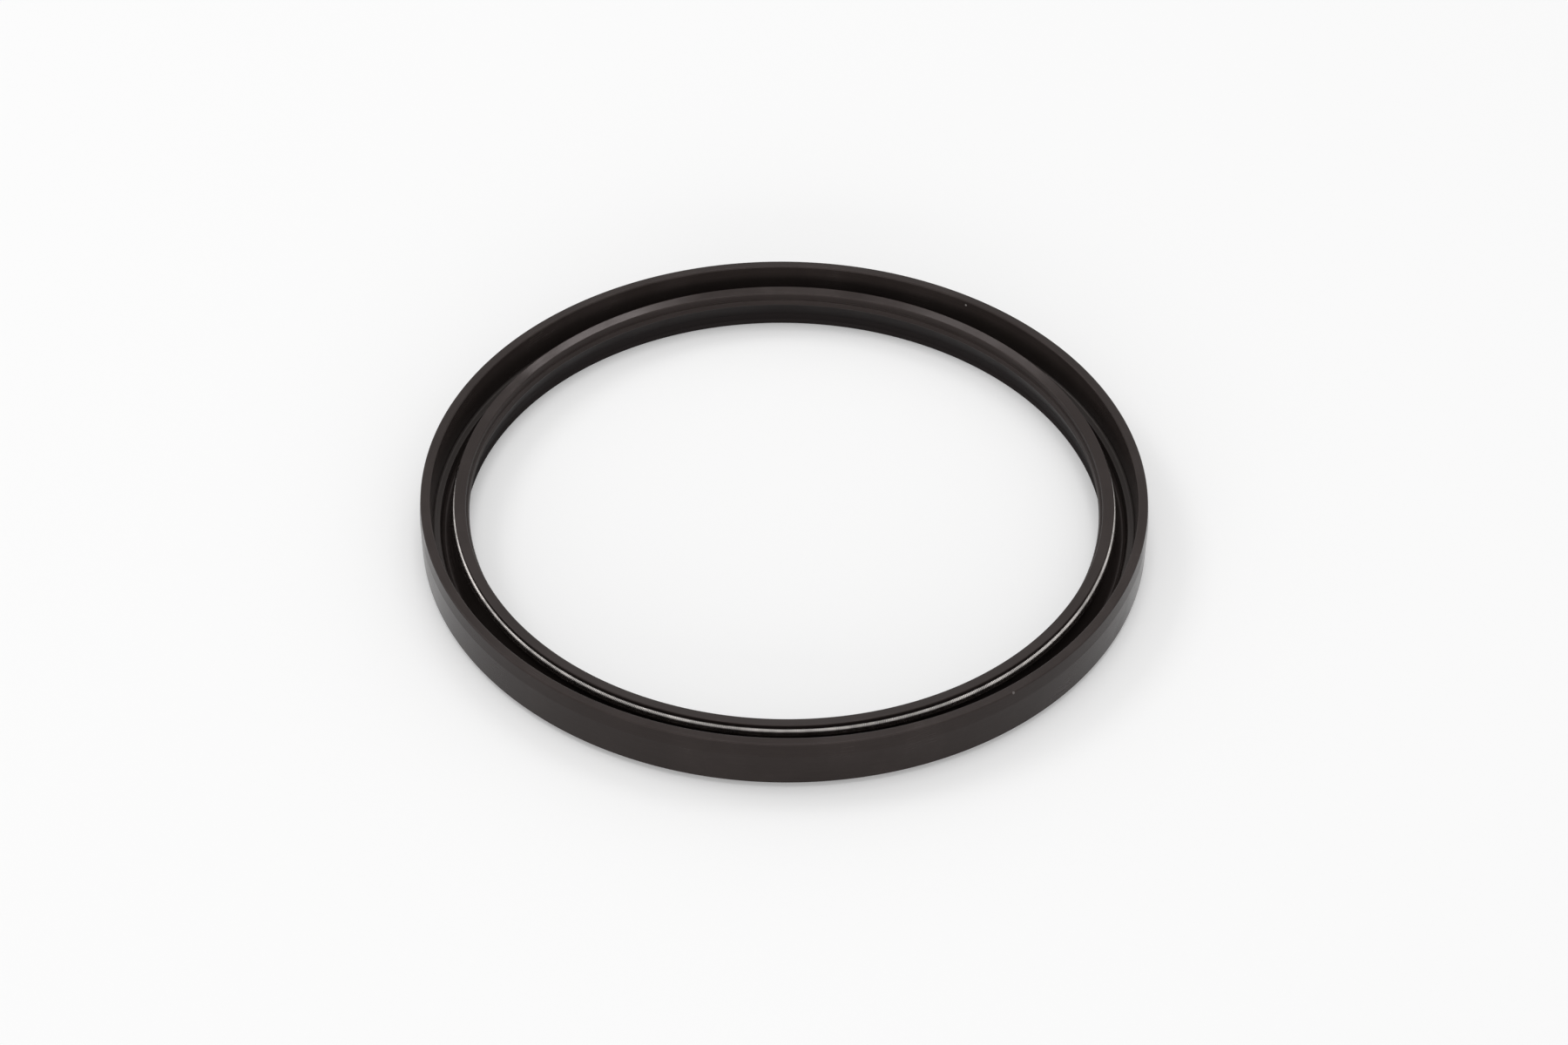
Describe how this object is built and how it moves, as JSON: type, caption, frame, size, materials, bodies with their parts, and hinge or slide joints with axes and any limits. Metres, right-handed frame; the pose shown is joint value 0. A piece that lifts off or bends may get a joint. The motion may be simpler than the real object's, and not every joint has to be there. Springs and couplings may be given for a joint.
{
  "type": "radial shaft seal",
  "caption": "Rubber-covered radial shaft seal: a press-fit ring with an open channel, a spring-loaded sealing lip towards the shaft and a small dust lip at the back.",
  "frame": {"origin": "on the seal's axis, in the plane of its back face (the air side), on which it lies", "axes": "+Z along the axis towards the front (the oil side, where the spring is); X and Y are any two radial directions"},
  "size_m": [0.12, 0.12, 0.009],
  "materials": {
    "rubber": "moulded, satin",
    "insert_steel": "phosphated sheet",
    "spring_wire": "drawn wire, lightly oiled"
  },
  "bodies": {
    "root": {"rubber_body": "rubber", "steel_insert": "insert_steel", "garter_spring": "spring_wire"}
  },
  "joints": []
}
